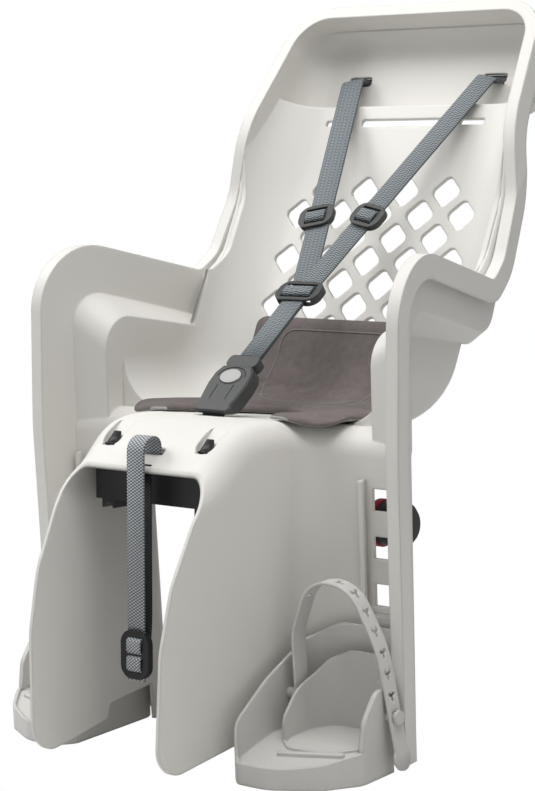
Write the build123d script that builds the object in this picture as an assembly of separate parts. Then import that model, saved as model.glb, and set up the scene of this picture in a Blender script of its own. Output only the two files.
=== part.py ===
from build123d import *
from math import atan, cos, hypot, sin
import os

os.makedirs("parts", exist_ok=True)

# Shell walls and rim
WALL = 3.5
RIM_FACE = 12.5
LIP_DEPTH = 21.0

# Rim seen from above and from the front
RIM_HALF_WIDTH = 206.0
RIM_FRONT_Y = -28.0
RIM_TOE = 0.16
EAR_LEDGE = 20.0
EAR_LEAN = 0.125
EAR_FRONT_Y = 172.0
EAR_BOTTOM_Z = 195.0
HEAD_HEIGHT = 97.0
HEAD_CORNER_R = 48.0

# Rim seen from the side
GUARD_BOTTOM_Z = -205.0
GUARD_LEAN = 0.07
GUARD_TOP_Z = 57.0
ARM_Z = 236.0
ARM_CORNER_R = 60.0
NOTCH_Y = 165.0
NOTCH_Z = 194.5
NOTCH_R = 12.0

# Bucket and headrest
BUCKET_HALF_WIDTH = 150.0
BUCKET_SIDE_R = 50.0
PAN_Z = 74.0
PAN_FALL = 0.06
PAN_BACK_R = 75.0
BACK_Y = 235.0
BACK_Z = 251.0
BACK_SLOPE = 0.466
CREASE_Z = 346.0
HEAD_RECESS = 18.0
HEAD_PANEL_R = 26.0

# Step between the rim band and the bucket: its two edges in the side view, as (y, z)
STEP_REACH = 14.0
STEP_BAND = [(33, -420), (5, 193), (172, 160), (229, 258), (232, 345), (262, 480), (300, 480), (300, -420)]
STEP_BUCKET = [(38, -420), (10, 161), (168, 138), (222, 258), (226, 345), (262, 480), (300, 480), (300, -420)]
STEP_ROUND = [0, 30, 25, 60, 60, 0, 0, 0]

# Saddle and leg wells
SKIRT_HALF_WIDTH = 84.0
SKIRT_TOE = 0.039
SKIRT_DRAFT = 0.030
LEG_WALL_Y = 13.5
LEG_WALL_LEAN = 0.055
LEG_CORNER_R = 26.0
SADDLE_EDGE_R = 22.0
SADDLE_FRONT_Y = -110.0
SADDLE_FRONT_Z = 42.0
SADDLE_NOSE = 8.0
SADDLE_CROWN_Y = -74.0
SADDLE_CROWN_Z = 74.0
SADDLE_CROWN_R = 60.0
SADDLE_CREST_Y = -36.0
SADDLE_CREST_Z = 79.0
SADDLE_CREST_R = 150.0
SADDLE_REAR_Y = 54.0
SKIRT_FRONT_Y = -173.0
SKIRT_BOTTOM_Z = -209.0

# Openings in the back
LATTICE_PITCH = 47.0
LATTICE_STEP = 24.0
LATTICE_TOP = 22.0
LATTICE_ROWS = 7
DIAMOND_SIDE = 24.7
DIAMOND_R = 6.0
GRIP_SLOT = 100.0
GRIP_SLOT_HEIGHT = 8.0
GRIP_SLOT_UP = 95.0
HARNESS_X = 79.0
HARNESS_UP = 36.4
HARNESS_SLOT_HEIGHT = 10.0
LOWER_SLOT_HEIGHT = 6.0

# Openings in the saddle and the footrest track
RECESS_X = 52.0
RECESS_Y = -81.0
RECESS_LENGTH = 38.0
RECESS_WIDTH = 19.0
RECESS_DEPTH = 5.0
LUG_Y = -87.0
LUG_WIDTH = 10.0
LUG_LENGTH = 12.0
LUG_TOP_Z = 57.0
LUG_CLEAR = 1.5
CROTCH_Y = -18.0
CROTCH_SLOT = 11.0
RETAINER_Y = -96.0
RETAINER_SLOT = 6.0
TRACK_X = 162.0
WINDOW_WIDTH = 21.0
WINDOW_HEIGHT = 19.0
WINDOW_PITCH = 41.0
WINDOW_TOP_Z = 13.0

# Webbing
WEB = 25.0
WEB_THICK = 1.6
WEB_GAP = 0.3
SLOT_CLEAR = 1.0
RETAINER_WEB = 20.0
RETAINER_CLEAR = 3.0
RETAINER_RUN_Y = -118.0
RETAINER_LOW_Z = -150.0
LOCK_Z = -118.0
ANCHOR_DEPTH = 16.0
ANCHOR_THICK = 5.0
FRAME_SIDE = 5.5

# Footrest
PLATE_WIDTH = 34.0
PLATE_THICK = 4.5
PLATE_LOW = 20.0
PLATE_LENGTH = 102.0
SLIDE_GAP = 0.4
RAIL_WALL = 3.0
RAIL_LIP = 3.0
RAIL_LOW_Z = -150.0
RAIL_LENGTH = 180.0
TRAY_LOW_Z = -207.0
TRAY_WALL = 3.2
TRAY_FLOOR = 4.0
TRAY_INNER = 72.0
TRAY_OUTER = 34.0
TRAY_FRONT = 137.0
TRAY_STEP = 20.0
APRON = 15.0
HEEL_RISE = 12.0
TRAY_LIP = 2.5
BACK_WALL = 113.0
OUTER_WALL = 74.0
OUTER_THICK = 5.0
CUP_X = 48.5
CUP_FRONT = 84.0
CUP_REAR = 25.5
CUP_WALL = 3.0
CUP_HEIGHT = 94.0
GUARD_CLEAR = 39.5
FOOT_STRAP_Y = -48.0
FOOT_STRAP = 16.0
FOOT_STRAP_THICK = 2.5
FOOT_STRAP_TOP = 157.0
TAB_R = 10.0
PEG_R = 4.5
PEG_HEAD_R = 6.5
INNER_PEG_UP = 56.0
OUTER_PEG_UP = 50.0

# Carrier clamp
RAIL_X = 52.0
RAIL_R = 5.0
RAIL_FIT = 0.1
CLAMP_HALF_WIDTH = 66.0
CLAMP_FRONT_Y = -95.0
CLAMP_REAR_Y = 80.0
CLAMP_TOP_Z = 39.0
CLAMP_WALL = 4.0
SCREW_R = 4.0
SCREW_Y = 58.0
SCREW_Z = -14.0
SCREW_START_X = -72.0
SCREW_FIT = 0.1
BEARING = 8.0
RIB_WIDTH = 14.0
APRON_LOW_Z = 8.0
JAW_X = 44.0
JAW_WIDTH = 22.0
JAW_LENGTH = 36.0
KNOB_X = 133.0
KNOB_R = 19.0
KNOB_LENGTH = 27.0
KNOB_BORE = 15.0
KNOB_BEVEL = 4.0
RING_THICK = 5.8
BOLT_R = 3.0
BOLT_HEAD_R = 5.5
BOLT_HEAD = 4.0
BOLT_LENGTH = 27.0
BOLT_X = 30.0
BOLT_Y = 30.0
BOSS_R = 8.0

# Buckle and adjusters
BUCKLE_Y = 16.0
BUCKLE_Z = 106.0
BUCKLE_RISE = 0.739
BUCKLE_HALF_WIDTH = 22.0
BUCKLE_LOW = -43.0
BUCKLE_HIGH = 12.0
BUCKLE_THICK = 14.0
BUCKLE_BEVEL = 1.5
BUTTON_Y = -2.0
BUTTON_A = 11.0
BUTTON_B = 8.0
BUTTON_THICK = 2.8
BUTTON_PROUD = 1.2
GROOVE = 0.8
CROTCH_TOP = -27.0
CROTCH_LOW = -46.0
TONGUE_WIDTH = 26.0
TONGUE_DEPTH = 17.5
TONGUE_THICK = 4.0
TONGUE_HEAD = 13.5
TONGUE_HEAD_WIDTH = 34.0
TONGUE_HEAD_THICK = 10.0
HARNESS_END = 18.0
ADJUSTER_LENGTH = 26.0
LOCK_LENGTH = 42.0
CHEST = (5.0, 111.0, 179.0)

# Seat pad
PAD_SIDE_GAP = 2.0
PAD_THICK = 10.0
PAD_FRONT_Y = 6.0
PAD_TOP_Z = 140.0
PAD_GAP = 0.3

FAR = 600.0
RECLINE = atan(BACK_SLOPE)
STAND = (Align.CENTER, Align.CENTER, Align.MIN)

# Foot strap seen from the front in its track's frame, from its inner end over the foot to its outer end
STRAP_PATH = [(-55, 47), (-58, 110), (-40, FOOT_STRAP_TOP + 1), (2, FOOT_STRAP_TOP), (30, 106), (46.9, 16)]


def inset(points, radii, depth):
    """A closed outline moved inwards by a depth, with its roundings about the same centres."""
    area = sum(p[0] * q[1] - q[0] * p[1] for p, q in zip(points, points[1:] + points[:1]))
    turn = 1 if area > 0 else -1
    moved = []
    rounded = []
    for i, (x, y) in enumerate(points):
        before, after = points[i - 1], points[(i + 1) % len(points)]
        a, b = hypot(x - before[0], y - before[1]), hypot(after[0] - x, after[1] - y)
        ax, ay, bx, by = (x - before[0]) / a, (y - before[1]) / a, (after[0] - x) / b, (after[1] - y) / b
        reach = turn * depth / (1 + ax * bx + ay * by)
        moved.append((x - (ay + by) * reach, y + (ax + bx) * reach))
        convex = turn * (ax * by - ay * bx) > 0
        rounded.append(0 if radii[i] == 0 else max(radii[i] + (-depth if convex else depth), 1.0))
    return moved, rounded


def side_face(points, radii):
    """A closed outline in the side view, given as (y, z), with a rounding at each corner."""
    return Plane.YZ * make_face(FilletPolyline(*points, radius=radii, close=True))


def across(face, half_width):
    """The side-view face carried across the seat to half_width on each side."""
    return extrude(face, amount=half_width, dir=(1, 0, 0), both=True)


def toe_x(y):
    """Half width of the rim at a given y: the side planes open towards the front."""
    return RIM_HALF_WIDTH - RIM_TOE * (y - RIM_FRONT_Y)


def pan_z(y):
    return PAN_Z - PAN_FALL * y


def saddle_z(y):
    """Height of the saddle behind its crest, down to where the pan begins."""
    rear = pan_z(SADDLE_REAR_Y)
    return rear + (SADDLE_CREST_Z - rear) * (SADDLE_REAR_Y - y) / (SADDLE_REAR_Y - SADDLE_CREST_Y)


def back_y(z):
    return BACK_Y + BACK_SLOPE * (z - BACK_Z)


def leg_wall_y(z):
    return LEG_WALL_Y - LEG_WALL_LEAN * z


def skirt_x(y, z):
    return SKIRT_HALF_WIDTH + SKIRT_TOE * y + SKIRT_DRAFT * z


def head_plane(grow):
    """Plane of the headrest panel, reclined, with y up along it from the crease."""
    y = back_y(CREASE_Z) + (HEAD_RECESS + grow) / cos(RECLINE)
    return Plane((0, y, CREASE_Z), x_dir=(1, 0, 0), z_dir=(0, -cos(RECLINE), sin(RECLINE)))


def head_outline(grow, low):
    """Outline of the headrest in its own plane, down to a low edge below the crease."""
    top = HEAD_HEIGHT + grow
    ear = toe_x(EAR_FRONT_Y) - EAR_LEDGE + grow
    wide, narrow = ear - EAR_LEAN * low, ear - EAR_LEAN * top
    r = HEAD_CORNER_R + grow
    pts = [(wide, low), (narrow, top), (-narrow, top), (-wide, low)]
    return make_face(FilletPolyline(*pts, radius=[0, r, r, 0], close=True))


def outer_body(grow):
    """The space inside the outer face of the rim, grown by a distance."""
    front, back = -260.0, 396.0
    side = grow / cos(atan(RIM_TOE))
    plan = make_face(Polyline(
        (toe_x(front) + side, front), (toe_x(back) + side, back),
        (-toe_x(back) - side, back), (-toe_x(front) - side, front), close=True))
    body = extrude(Pos(0, 0, -FAR) * plan, amount=2 * FAR)
    head = extrude(head_plane(0) * head_outline(grow, -FAR), amount=FAR, both=True)
    trimmed = Pos(0, EAR_FRONT_Y + FAR / 2, EAR_BOTTOM_Z + FAR / 2) * Box(2 * FAR, FAR, FAR) - head
    return body - trimmed


def bucket(grow, front):
    """The seat's inner hollow below the headrest, from a front plane back, grown by a distance."""
    shift = grow / cos(RECLINE)
    top = CREASE_Z + 130
    low_y = (BACK_Y + BACK_SLOPE * (PAN_Z - grow - BACK_Z) + shift) / (1 + BACK_SLOPE * PAN_FALL)
    outline = [(front, pan_z(front) - grow), (low_y, pan_z(low_y) - grow),
               (back_y(top) + shift, top), (front, top)]
    body = across(side_face(outline, [0, PAN_BACK_R + grow, 0, 0]), BUCKET_HALF_WIDTH + grow)
    chain = [e for e in body.edges()
             if abs(abs(e.center().X) - BUCKET_HALF_WIDTH - grow) < 0.01
             and e.center().Y > front + 1 and e.center().Z < top - 1]
    return fillet(chain, BUCKET_SIDE_R + grow)


def headrest_hollow(grow):
    """The headrest's inner hollow, set back from the bucket's back panel."""
    body = extrude(head_plane(grow) * head_outline(grow - RIM_FACE, -grow), amount=250)
    panel = body.faces().sort_by(Axis.Y)[-1]
    low = head_plane(grow).origin.Z
    chain = [e for e in panel.edges() if e.center().Z > low + 8]
    return fillet(chain, HEAD_PANEL_R + grow)


def saddle_front():
    """The two ends of the saddle's sloping front, as (y, z)."""
    front = (SADDLE_FRONT_Y - SADDLE_NOSE, SADDLE_FRONT_Z - SADDLE_NOSE)
    return front, (SADDLE_CROWN_Y, SADDLE_CROWN_Z)


def recess_well(side, grow):
    """An oval well in the saddle's sloping front, grown by a wall."""
    (front_y, front_z), (crown_y, crown_z) = saddle_front()
    slope = atan((crown_z - front_z) / (crown_y - front_y))
    z = crown_z + (RECESS_Y - crown_y) * (crown_z - front_z) / (crown_y - front_y)
    plane = Plane((side * RECESS_X, RECESS_Y, z), x_dir=(1, 0, 0), z_dir=(0, -sin(slope), cos(slope)))
    oval = SlotOverall(RECESS_LENGTH + 2 * grow, RECESS_WIDTH + 2 * grow, rotation=90)
    return extrude(plane * Pos(0, 0, -RECESS_DEPTH - grow) * oval, amount=30)


def saddle_core(shrink):
    """The space under the saddle top and behind the leg wells' rear walls, shrunk by a distance."""
    rear, reach, front, low, high = SADDLE_REAR_Y, 320.0, -400.0, -420.0, 140.0
    wall = leg_wall_y(low) + shrink
    corner = (skirt_x(wall, low) - shrink, wall)
    half = make_face(Polyline(
        (-SKIRT_HALF_WIDTH / 2, 2 * rear), (2 * reach, 2 * rear), (2 * reach, wall), corner,
        (skirt_x(front, low) - shrink, front), (-SKIRT_HALF_WIDTH / 2, front), close=True))
    lean = Vector(SKIRT_DRAFT - SKIRT_TOE * LEG_WALL_LEAN, -LEG_WALL_LEAN, 1)
    half = extrude(Pos(0, 0, low) * half, amount=(high - low) * lean.length, dir=lean)
    (front_y, front_z), (crown_y, crown_z) = saddle_front()
    outline = [(front + 20, low + 10), (front + 20, front_z - 12 - shrink), (front_y, front_z - shrink),
               (crown_y, crown_z - shrink), (SADDLE_CREST_Y, SADDLE_CREST_Z - shrink),
               (rear, pan_z(rear) - shrink), (rear, low + 10)]
    side = across(side_face(outline, [0, 0, SADDLE_CROWN_R, SADDLE_CROWN_R, SADDLE_CREST_R, 0, 0]), reach)
    body = (half + mirror(half, about=Plane.YZ)) & side
    upright = [e for e in body.edges()
               if abs((e % 0.5).Z) > 0.9 and abs(e.center().X) < SKIRT_HALF_WIDTH + 40
               and abs(e.center().Y - leg_wall_y(e.center().Z)) < 10]
    body = fillet(upright, LEG_CORNER_R + shrink)
    chain = [e for e in body.edges()
             if e.center().Z > -100 and 60 < abs(e.center().X) < reach - 1 and e.center().Y < 30]
    return fillet(chain, SADDLE_EDGE_R - shrink)


def side_fillers(shrink):
    """The pan's side roundings carried forward from the bucket to the edge of the leg wells."""
    front, rear = LEG_WALL_Y + SADDLE_EDGE_R + shrink, SADDLE_REAR_Y
    inner, outer = BUCKET_HALF_WIDTH - BUCKET_SIDE_R, BUCKET_HALF_WIDTH + shrink + 1
    low, high = pan_z(rear) - 20, pan_z(rear) + BUCKET_SIDE_R
    block = Box(outer - inner, rear - front, high - low)
    middle = Pos(0, (front + rear) / 2, (low + high) / 2)
    sides = [middle * Pos(s * (inner + outer) / 2, 0, 0) * block for s in (1, -1)]
    return sides[0] + sides[1] - bucket(shrink, front - 10)


def side_step(shrink):
    """The solid side of the step that runs inside the rim band, shrunk by a distance."""
    outer, outer_r = inset(STEP_BAND, STEP_ROUND, shrink)
    inner, inner_r = inset(STEP_BUCKET, STEP_ROUND, shrink)
    blocks = Part()
    for s in (1, -1):
        wide = [(s * (toe_x(y) - RIM_FACE + shrink + STEP_REACH), y, z) for y, z in outer]
        narrow = [(s * (BUCKET_HALF_WIDTH + shrink - 0.2), y, z) for y, z in inner]
        blocks += loft([make_face(FilletPolyline(*narrow, radius=inner_r, close=True)),
                        make_face(FilletPolyline(*wide, radius=outer_r, close=True))], ruled=True)
    return blocks


def hollow(grow):
    """Everything on the rider's side of the shell's inner face, grown by a distance."""
    core = saddle_core(grow) + side_fillers(grow)
    centre = Pos(0, SADDLE_REAR_Y + FAR / 2, 0) * Box(2 * (BUCKET_HALF_WIDTH + grow - 0.1), FAR, 4 * FAR)
    room = outer_body(grow - RIM_FACE)
    front = room - side_step(grow) - centre - core
    return front + (bucket(grow, SADDLE_REAR_Y) & room) + headrest_hollow(grow)


def rim_outline():
    """Side view of the rim's front edge: leg guard, armrest, elbow notch, ear and headrest."""
    low, high = -420.0, 583.0
    y, z = NOTCH_Y, NOTCH_Z
    pts = [(RIM_FRONT_Y + GUARD_LEAN * (GUARD_TOP_Z - low), low), (RIM_FRONT_Y, GUARD_TOP_Z),
           (RIM_FRONT_Y - 1, ARM_Z), (y, z), (y + 22, z + 16.5), (y + 49, z + 73.5), (y + 54, z + 138.5),
           (y + 225, high), (FAR, high), (FAR, low)]
    return pts, [0, 300, ARM_CORNER_R, NOTCH_R, 40, 60, 100, 0, 0, 0]


def saddle_outline():
    """Side view of the saddle and its skirts, open to the rear."""
    y, z = SADDLE_FRONT_Y, SADDLE_FRONT_Z
    low = SKIRT_BOTTOM_Z
    pts = [(y, 120), (y, z), (y - 26, z - 40), (y - 50, z - 88), (y - 62, z - 142), (SKIRT_FRONT_Y - 1, low),
           (-75, low + 16), (-72, low + 29), (5, low + 39), (60, low + 43), (60, 120)]
    return pts, [0, 25, 60, 80, 80, 26, 4, 3, 0, 0, 0]


def shell():
    pts, radii = rim_outline()
    rim = across(side_face(pts, radii), FAR)
    behind_face = across(side_face(*inset(pts, radii, WALL)), FAR)
    behind_lip = across(side_face(*inset(pts, radii, LIP_DEPTH)), FAR)
    saddle = across(side_face(*saddle_outline()), SKIRT_HALF_WIDTH + 8)
    inside = hollow(0)
    body = outer_body(0)
    walls = (hollow(WALL) - inside) & (rim + saddle)
    middle = Pos(0, 0, -FAR) * Box(2 * (SKIRT_HALF_WIDTH + 16), 4 * FAR, 2 * FAR + 2 * ARM_Z)
    face = ((rim - behind_face) & body) - inside - middle
    lip = (rim - behind_lip) & (body - outer_body(-WALL))
    piece = walls + face + lip
    piece &= Pos(0, 0, GUARD_BOTTOM_Z) * Box(2 * FAR, 2 * FAR, 2 * FAR, align=STAND)
    under_saddle = saddle_core(0)
    for side in (1, -1):
        piece += recess_well(side, WALL) & under_saddle
        piece += [track_frame(side) * rail for rail in track_rails()]
        boss_z = CLAMP_TOP_Z + WEB_GAP
        boss = Cylinder(BOSS_R, pan_z(BOLT_Y) - WALL + 1 - boss_z, align=STAND)
        bore = Pos(0, 0, -1) * Cylinder(BOLT_R + SCREW_FIT, BOLT_LENGTH - 1, align=STAND)
        place = Pos(side * BOLT_X, BOLT_Y, boss_z)
        piece = piece + place * boss - place * bore
    return piece - openings()


def back_plane():
    return Plane((0, BACK_Y, BACK_Z), x_dir=(1, 0, 0), z_dir=(0, -cos(RECLINE), sin(RECLINE)))


def openings():
    """Every hole cut through the shell: lattice, slots, saddle recesses and track windows."""
    cuts = []
    depth = 12.0
    for row in range(LATTICE_ROWS):
        count = 4 + row % 2
        for i in range(count):
            x = (i - (count - 1) / 2) * LATTICE_PITCH
            cell = Rot(0, 0, 45) * RectangleRounded(DIAMOND_SIDE, DIAMOND_SIDE, DIAMOND_R)
            cuts.append(extrude(back_plane() * Pos(x, LATTICE_TOP - row * LATTICE_STEP) * cell,
                                amount=depth, both=True))
    slot = RectangleRounded(GRIP_SLOT, GRIP_SLOT_HEIGHT, GRIP_SLOT_HEIGHT / 2 - 0.1)
    cuts.append(extrude(back_plane() * Pos(0, GRIP_SLOT_UP) * slot, amount=depth, both=True))
    for side in (1, -1):
        slot = RectangleRounded(WEB + 2 * SLOT_CLEAR, HARNESS_SLOT_HEIGHT, 0.3 * HARNESS_SLOT_HEIGHT)
        place = head_plane(0) * Pos(side * HARNESS_X, HARNESS_UP)
        cuts.append(extrude(place * slot, amount=depth, both=True))
        slot = RectangleRounded(WEB + 2 * SLOT_CLEAR, LOWER_SLOT_HEIGHT, LOWER_SLOT_HEIGHT / 3)
        place = back_plane() * Pos(side * HARNESS_X, GRIP_SLOT_UP)
        cuts.append(extrude(place * slot, amount=depth, both=True))
        cuts.append(recess_well(side, 0))
        way = Box(LUG_WIDTH + 2 * LUG_CLEAR, LUG_LENGTH + 2 * LUG_CLEAR, 4 * depth)
        cuts.append(Pos(side * RECESS_X, LUG_Y, LUG_TOP_Z) * way)
        for n in range(3):
            z = WINDOW_TOP_Z - n * WINDOW_PITCH
            cuts.append(Pos(side * TRACK_X, leg_wall_y(z), z) * Box(WINDOW_WIDTH, 4 * WALL, WINDOW_HEIGHT))
    slot = RectangleRounded(RETAINER_WEB + 2 * RETAINER_CLEAR, RETAINER_SLOT, RETAINER_SLOT / 3)
    cuts.append(extrude(Pos(0, RETAINER_Y, SADDLE_FRONT_Z) * slot, amount=4 * depth, both=True))
    slot = RectangleRounded(WEB + 2 * SLOT_CLEAR, CROTCH_SLOT, CROTCH_SLOT / 5)
    cuts.append(extrude(Pos(0, CROTCH_Y, SADDLE_CREST_Z) * slot, amount=2 * depth, both=True))
    return cuts


def track_frame(side):
    """Frame of a footrest track on the leg wall: z up along the wall, y into the wall."""
    low = Plane((side * TRACK_X, leg_wall_y(TRAY_LOW_Z), TRAY_LOW_Z), x_dir=(1, 0, 0),
                z_dir=(0, -LEG_WALL_LEAN, 1))
    return low.location


def track_rails():
    """The two hooked rails of a track, in the track's frame."""
    gap = PLATE_WIDTH / 2 + SLIDE_GAP
    depth = PLATE_THICK + 2 * SLIDE_GAP
    rails = []
    for s in (1, -1):
        edge = [(s * gap, 1), (s * (gap + RAIL_WALL), 1), (s * (gap + RAIL_WALL), -depth - RAIL_LIP),
                (s * (gap - RAIL_LIP), -depth - RAIL_LIP), (s * (gap - RAIL_LIP), -depth), (s * gap, -depth)]
        rails.append(extrude(Pos(0, 0, RAIL_LOW_Z - TRAY_LOW_Z) * make_face(Polyline(*edge, close=True)),
                             amount=RAIL_LENGTH))
    return rails


def strip(points, radii, thickness):
    """A closed face of even thickness along an open path of straight runs and bends."""
    left = []
    right = []
    left_r = []
    right_r = []
    last = len(points) - 1
    for i, (x, y) in enumerate(points):
        before, after = points[max(i - 1, 0)], points[min(i + 1, last)]
        if i == 0:
            before = (2 * x - after[0], 2 * y - after[1])
        if i == last:
            after = (2 * x - before[0], 2 * y - before[1])
        a, b = hypot(x - before[0], y - before[1]), hypot(after[0] - x, after[1] - y)
        ax, ay, bx, by = (x - before[0]) / a, (y - before[1]) / a, (after[0] - x) / b, (after[1] - y) / b
        reach = thickness / 2 / (1 + ax * bx + ay * by)
        left.append((x - (ay + by) * reach, y + (ax + bx) * reach))
        right.append((x + (ay + by) * reach, y - (ax + bx) * reach))
        turn = thickness / 2 if ax * by - ay * bx > 0 else -thickness / 2
        left_r.append(radii[i] - turn if radii[i] else 0)
        right_r.append(radii[i] + turn if radii[i] else 0)
    return make_face(FilletPolyline(*left, *right[::-1], radius=left_r + right_r[::-1], close=True))


def front_face(points, radii):
    """A closed outline in the front view, given as (x, z), carried through the whole depth."""
    face = make_face(FilletPolyline(*points, radius=radii, close=True))
    return extrude(Plane.XZ * face, amount=FAR, both=True)


def tray_plan(depth=0.0):
    """Plan of the footrest tray in its track's frame, moved inwards by a depth."""
    rear = -(PLATE_THICK + 2 * SLIDE_GAP + RAIL_LIP + 1)
    a, b, f = -TRAY_INNER, TRAY_OUTER, -TRAY_FRONT
    points = [(a, rear), (a, f + 15), (a + 14, f), (a + 45, f), (b - 21, f + 22), (b, f + 51),
              (b, -GUARD_CLEAR), (TRAY_STEP, -GUARD_CLEAR), (TRAY_STEP, rear)]
    radii = [20, 12, 12, 40, 40, 20, 3, 3, 0]
    points, radii = inset(points, radii, depth)
    return make_face(FilletPolyline(*points, radius=radii, close=True))


def tray_floor(rise):
    """Everything below the tray's floor, which climbs to the heel, raised by a distance."""
    f, low, high = -TRAY_FRONT, APRON + rise, APRON + HEEL_RISE + rise
    points = [(f - 20, -1), (f - 20, low), (f + 9, low), (10 - CUP_FRONT, high), (0, high), (0, -1)]
    return across(side_face(points, [0, 0, 30, 30, 0, 0]), FAR)


def tray_walls():
    """The tray's upstanding walls: front lip, tall inner and back wall, outer wall with the strap's peg."""
    f = -TRAY_FRONT
    ring = extrude(tray_plan() - tray_plan(TRAY_WALL), amount=BACK_WALL)
    lip = ring & tray_floor(TRAY_LIP)
    inner = [(f - 9, 0), (f - 9, APRON), (f + 8, APRON + TRAY_LIP), (f + 15, 46), (f + 59, 74), (-16, 100),
             (-14, BACK_WALL), (0, BACK_WALL), (0, 0)]
    back = [(-90, 0), (-90, BACK_WALL - 25), (-40, BACK_WALL), (FAR, BACK_WALL), (FAR, 0)]
    tall = ring & across(side_face(inner, [0, 0, 6, 26, 90, 0, 0, 0, 0]), FAR)
    tall &= front_face(back, [0, 0, 30, 0, 0])
    side = Pos(20 - TRAY_INNER, 0, 0) * Box(FAR, FAR, FAR, align=(Align.MAX, Align.CENTER, Align.CENTER))
    rear = Pos(0, -14, 0) * Box(FAR, FAR, FAR, align=(Align.CENTER, Align.MIN, Align.CENTER))
    outer = [(-CUP_FRONT, 0), (-CUP_FRONT, 30), (4 - CUP_FRONT, 52), (22 - CUP_FRONT, OUTER_WALL),
             (0, OUTER_WALL), (0, 0)]
    right = extrude(tray_plan() - tray_plan(OUTER_THICK), amount=BACK_WALL)
    right &= across(side_face(outer, [0, 0, 16, 14, 0, 0]), FAR)
    beside = Box(FAR, FAR, FAR, align=(Align.MIN, Align.CENTER, Align.CENTER))
    right &= Pos(TRAY_STEP - OUTER_THICK, 0, 0) * beside
    return lip + (tall & (side + rear)) + right


def heel_cup():
    """The heel's inner wall, rising from the tray's floor to the back, with the ridge in front of it."""
    path = [(-CUP_X, -CUP_FRONT), (-CUP_X, -CUP_REAR), (TRAY_STEP - TRAY_WALL / 2, -CUP_REAR)]
    wall = extrude(strip(path, [0, 26, 0], CUP_WALL), amount=BACK_WALL)
    side = [(-CUP_FRONT, APRON), (-CUP_FRONT, 44), (18 - CUP_FRONT, 64), (44 - CUP_FRONT, 73),
            (-CUP_REAR - 2, 88), (-CUP_REAR - 1.6, BACK_WALL), (0, BACK_WALL), (0, APRON)]
    back = [(-FAR, 0), (-FAR, 76), (-60, 76), (-20, CUP_HEIGHT), (FAR, CUP_HEIGHT), (FAR, 0)]
    wall &= across(side_face(side, [0, 14, 30, 30, 0, 0, 0, 0]), FAR) & front_face(back, [0, 0, 0, 16, 0, 0])
    path = [(-CUP_X, -CUP_FRONT), (12 - CUP_X, -CUP_FRONT - 10), (TRAY_STEP - 16, -CUP_FRONT - 8),
            (TRAY_OUTER - OUTER_THICK, 10 - CUP_FRONT)]
    ridge = extrude(Pos(0, 0, APRON) * strip(path, [0, 10, 24, 0], 2.5), amount=BACK_WALL)
    return wall + (ridge & tray_floor(1.5))


def outer_strap_x(up):
    """Middle of the foot strap's outer run at a height above the tray's lower edge."""
    top, low = STRAP_PATH[-2], STRAP_PATH[-1]
    return top[0] + (low[0] - top[0]) * (top[1] - up) / (top[1] - low[1])


def footrest():
    """The left footrest in its track's frame: slider plate, neck, tray, heel cup and strap pegs."""
    stand_behind = (Align.CENTER, Align.MAX, Align.MIN)
    plate = Pos(0, -SLIDE_GAP, PLATE_LOW) * Box(PLATE_WIDTH, PLATE_THICK, PLATE_LENGTH, align=stand_behind)
    reach = PLATE_THICK + RAIL_LIP + 4
    neck = Pos(0, -SLIDE_GAP, PLATE_LOW) * Box(PLATE_WIDTH - 2 * RAIL_LIP - 3, reach, PLATE_LENGTH - 30,
                                               align=stand_behind)
    floor = extrude(tray_plan(), amount=BACK_WALL) & tray_floor(0)
    floor -= extrude(Pos(0, 0, -1) * tray_plan(TRAY_WALL), amount=BACK_WALL) & tray_floor(-TRAY_FLOOR)
    bar = Pos(-10, -CUP_FRONT - 14, APRON) * Rot(0, 0, 14) * extrude(SlotOverall(60, 5), amount=BACK_WALL)
    tray = floor + tray_walls() + heel_cup() + (bar & tray_floor(TRAY_LIP))
    outside = outer_strap_x(OUTER_PEG_UP) + FOOT_STRAP_THICK / 2
    inner_peg = Pos(1 - TRAY_INNER, FOOT_STRAP_Y, INNER_PEG_UP) * lying(PEG_R, TRAY_INNER - CUP_X - 1)
    outer_peg = Pos(TRAY_OUTER - 1, FOOT_STRAP_Y, OUTER_PEG_UP) * lying(PEG_R, outside - TRAY_OUTER + 3)
    head = Pos(outside + 1.6, FOOT_STRAP_Y, OUTER_PEG_UP) * lying(PEG_HEAD_R, 3)
    return plate + neck + tray + inner_peg + outer_peg + head


def lying(radius, length):
    """A cylinder that starts at the origin and points along +x."""
    return Rot(0, 90, 0) * Cylinder(radius, length, align=STAND)


def foot_strap():
    """The rubber band arched over the foot between the tray's two pegs, in the track's frame."""
    face = strip(STRAP_PATH, [0, 50, 28, 34, 110, 0], FOOT_STRAP_THICK)
    band = extrude(Plane((0, FOOT_STRAP_Y, 0), x_dir=(1, 0, 0), z_dir=(0, -1, 0)) * face,
                   amount=FOOT_STRAP / 2, both=True)
    top, low = STRAP_PATH[-2], STRAP_PATH[-1]
    end = Plane((low[0], FOOT_STRAP_Y, low[1]), x_dir=(0, 1, 0), z_dir=(top[1] - low[1], 0, low[0] - top[0]))
    band += end.location * Cylinder(TAB_R, FOOT_STRAP_THICK)
    for x, up in ((-CUP_X - 10, INNER_PEG_UP), (outer_strap_x(OUTER_PEG_UP) - 5, OUTER_PEG_UP)):
        band -= Pos(x, FOOT_STRAP_Y, up) * lying(PEG_R + WEB_GAP, 12)
    return band


def run_plane(start, end, along=0.5):
    """Plane on a straight run of webbing: y along the run, z towards the rider."""
    a, b = Vector(*start), Vector(*end)
    down = (b - a).normalized()
    wide = Vector(0, -1, 1).cross(down).normalized()
    return Plane(a + (b - a) * along, x_dir=wide, z_dir=wide.cross(-down) * -1)


def run(start, end, width, thickness):
    a, b = Vector(*start), Vector(*end)
    return run_plane(start, end).location * Box(width, (b - a).length, thickness)


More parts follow.
